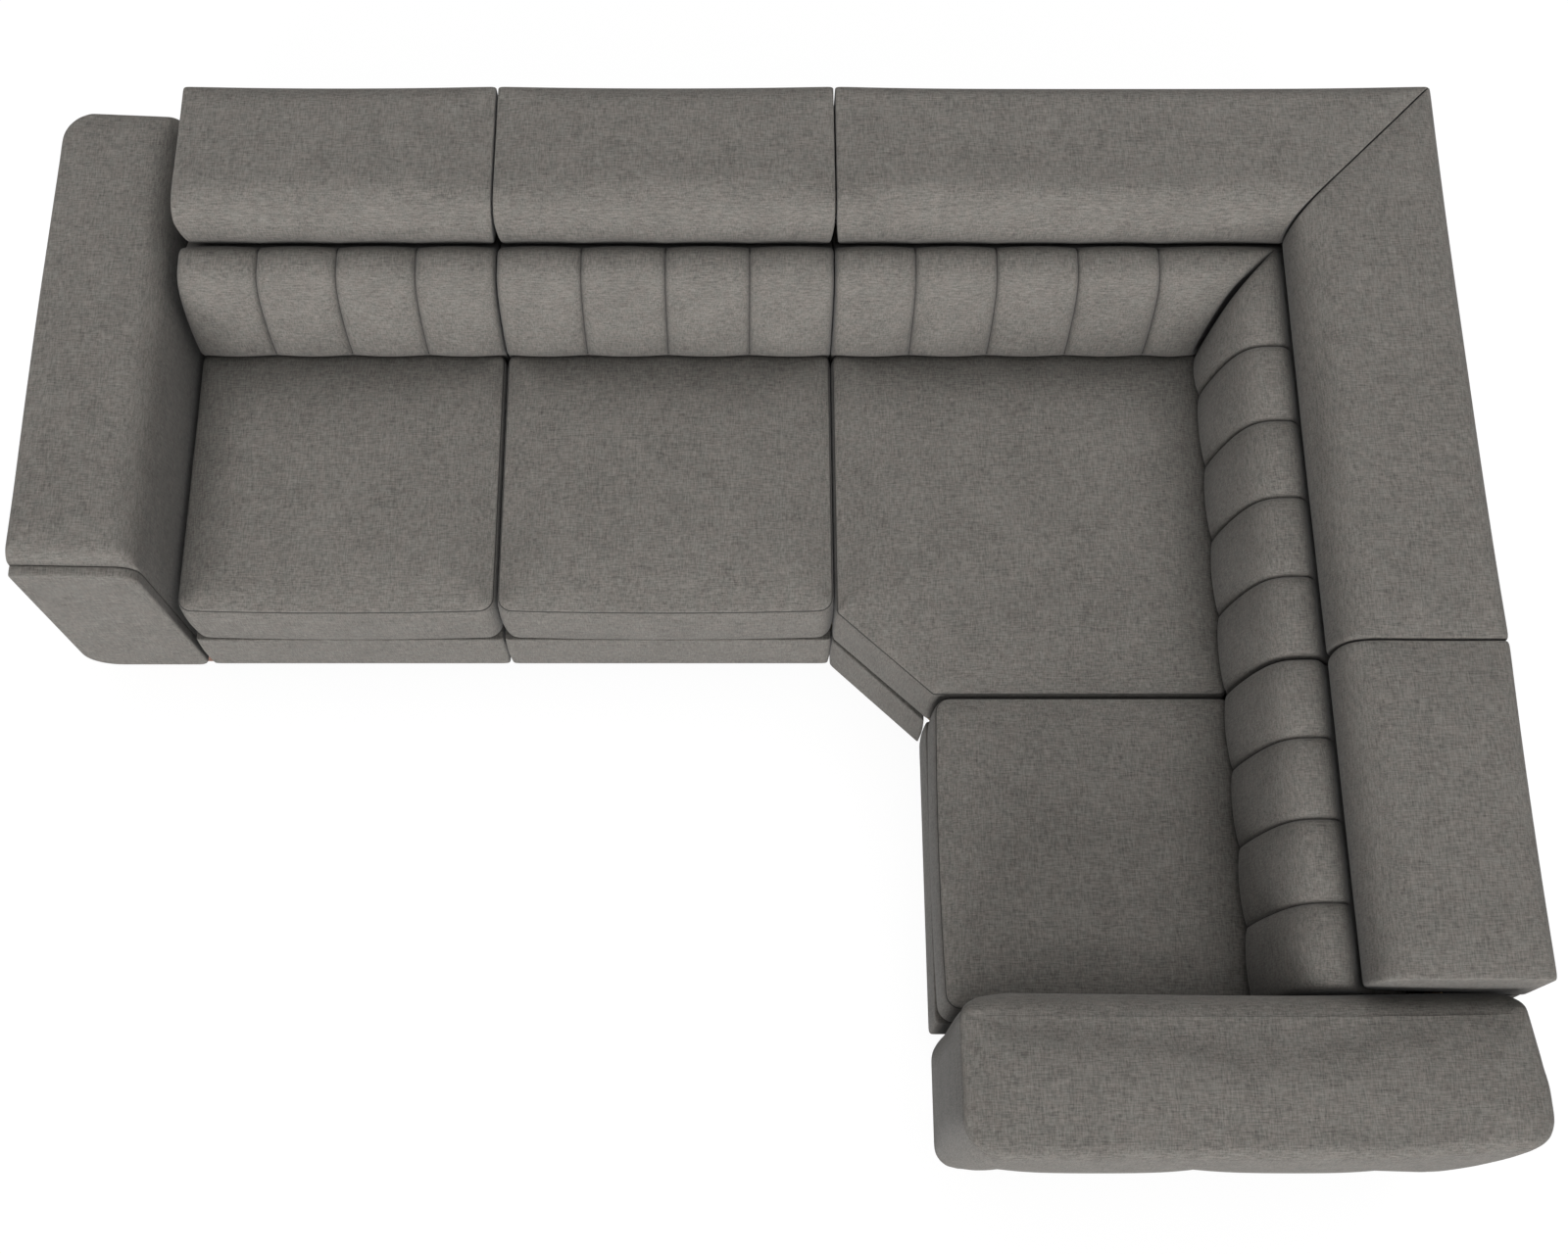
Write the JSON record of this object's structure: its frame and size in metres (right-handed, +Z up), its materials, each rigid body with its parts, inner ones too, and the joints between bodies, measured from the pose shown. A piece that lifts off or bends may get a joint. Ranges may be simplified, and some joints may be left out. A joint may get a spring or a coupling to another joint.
{
  "type": "sectional corner sofa",
  "caption": "Upholstered corner sofa of bolted modules with channelled back cushions, two different arms and headrests that fold up on friction hinges.",
  "frame": {"origin": "on the floor, under the middle of the whole plan outline", "axes": "+X along the long run from the left arm to the corner, +Y towards the long run's back, +Z up"},
  "size_m": [2.8552, 2.1532, 0.7746],
  "materials": {
    "woven_cover": "woven grey-brown melange upholstery fabric over wadding",
    "seat_foam": "open-cell foam core",
    "frame_timber": "raw timber and board",
    "stained_wood": "stained and lacquered wood",
    "black_plastic": "moulded, matt",
    "black_textile": "woven straps and dust cloth",
    "zinc_steel": "zinc-plated steel"
  },
  "bodies": {
    "sofa": {"arm_cover_left": "woven_cover", "arm_cover_right": "woven_cover", "arm_frame_left": "frame_timber", "arm_frame_right": "frame_timber", "arm_front_panel_left": "woven_cover", "arm_front_panel_right": "woven_cover", "back_cushion_1": "woven_cover", "back_cushion_2": "woven_cover", "back_cushion_3": "woven_cover", "back_cushion_corner_left": "woven_cover", "back_cushion_corner_right": "woven_cover", "back_frame_1": "frame_timber", "back_frame_2": "frame_timber", "back_frame_3": "frame_timber", "back_frame_corner": "frame_timber", "back_straps": "black_textile", "base_cover_1": "woven_cover", "base_cover_2": "woven_cover", "base_cover_3": "woven_cover", "base_cover_corner": "woven_cover", "base_frame_1": "frame_timber", "base_frame_2": "frame_timber", "base_frame_3": "frame_timber", "base_frame_corner": "frame_timber", "corner_cap_left": "woven_cover", "corner_cap_right": "woven_cover", "dust_covers": "black_textile", "glides": "black_plastic", "hinge_brackets": "zinc_steel", "hinge_pins": "zinc_steel", "hook_plates": "zinc_steel", "module_bolts": "zinc_steel", "plastic_feet": "black_plastic", "rear_cover_1": "woven_cover", "rear_cover_2": "woven_cover", "rear_cover_3": "woven_cover", "rear_cover_corner": "woven_cover", "seat_cushion_1": "woven_cover", "seat_cushion_2": "woven_cover", "seat_cushion_3": "woven_cover", "seat_cushion_corner": "woven_cover", "seat_foam_1": "seat_foam", "seat_foam_2": "seat_foam", "seat_foam_3": "seat_foam", "seat_foam_corner": "seat_foam", "seat_springs_1": "zinc_steel", "seat_springs_2": "zinc_steel", "seat_springs_3": "zinc_steel", "seat_springs_corner": "zinc_steel", "wooden_feet": "stained_wood"},
    "headrest_1": {"headrest_board_1": "frame_timber", "headrest_pad_1": "woven_cover", "hinge_arms_1": "zinc_steel"},
    "headrest_2": {"headrest_board_2": "frame_timber", "headrest_pad_2": "woven_cover", "hinge_arms_2": "zinc_steel"},
    "headrest_3": {"headrest_board_3": "frame_timber", "headrest_pad_3": "woven_cover", "hinge_arms_3": "zinc_steel"}
  },
  "joints": [
    {"name": "headrest_1_tilt", "type": "hinge", "parent": "sofa", "child": "headrest_1", "pos_m": [-0.838, 0.8265, 0.715], "axis": [1, 0, 0], "range_deg": [0, 75]},
    {"name": "headrest_2_tilt", "type": "hinge", "parent": "sofa", "child": "headrest_2", "pos_m": [-0.158, 0.8265, 0.715], "axis": [1, 0, 0], "range_deg": [0, 75]},
    {"name": "headrest_3_tilt", "type": "hinge", "parent": "sofa", "child": "headrest_3", "pos_m": [1.1775, -0.46, 0.715], "axis": [0, -1, 0], "range_deg": [0, 75]}
  ]
}
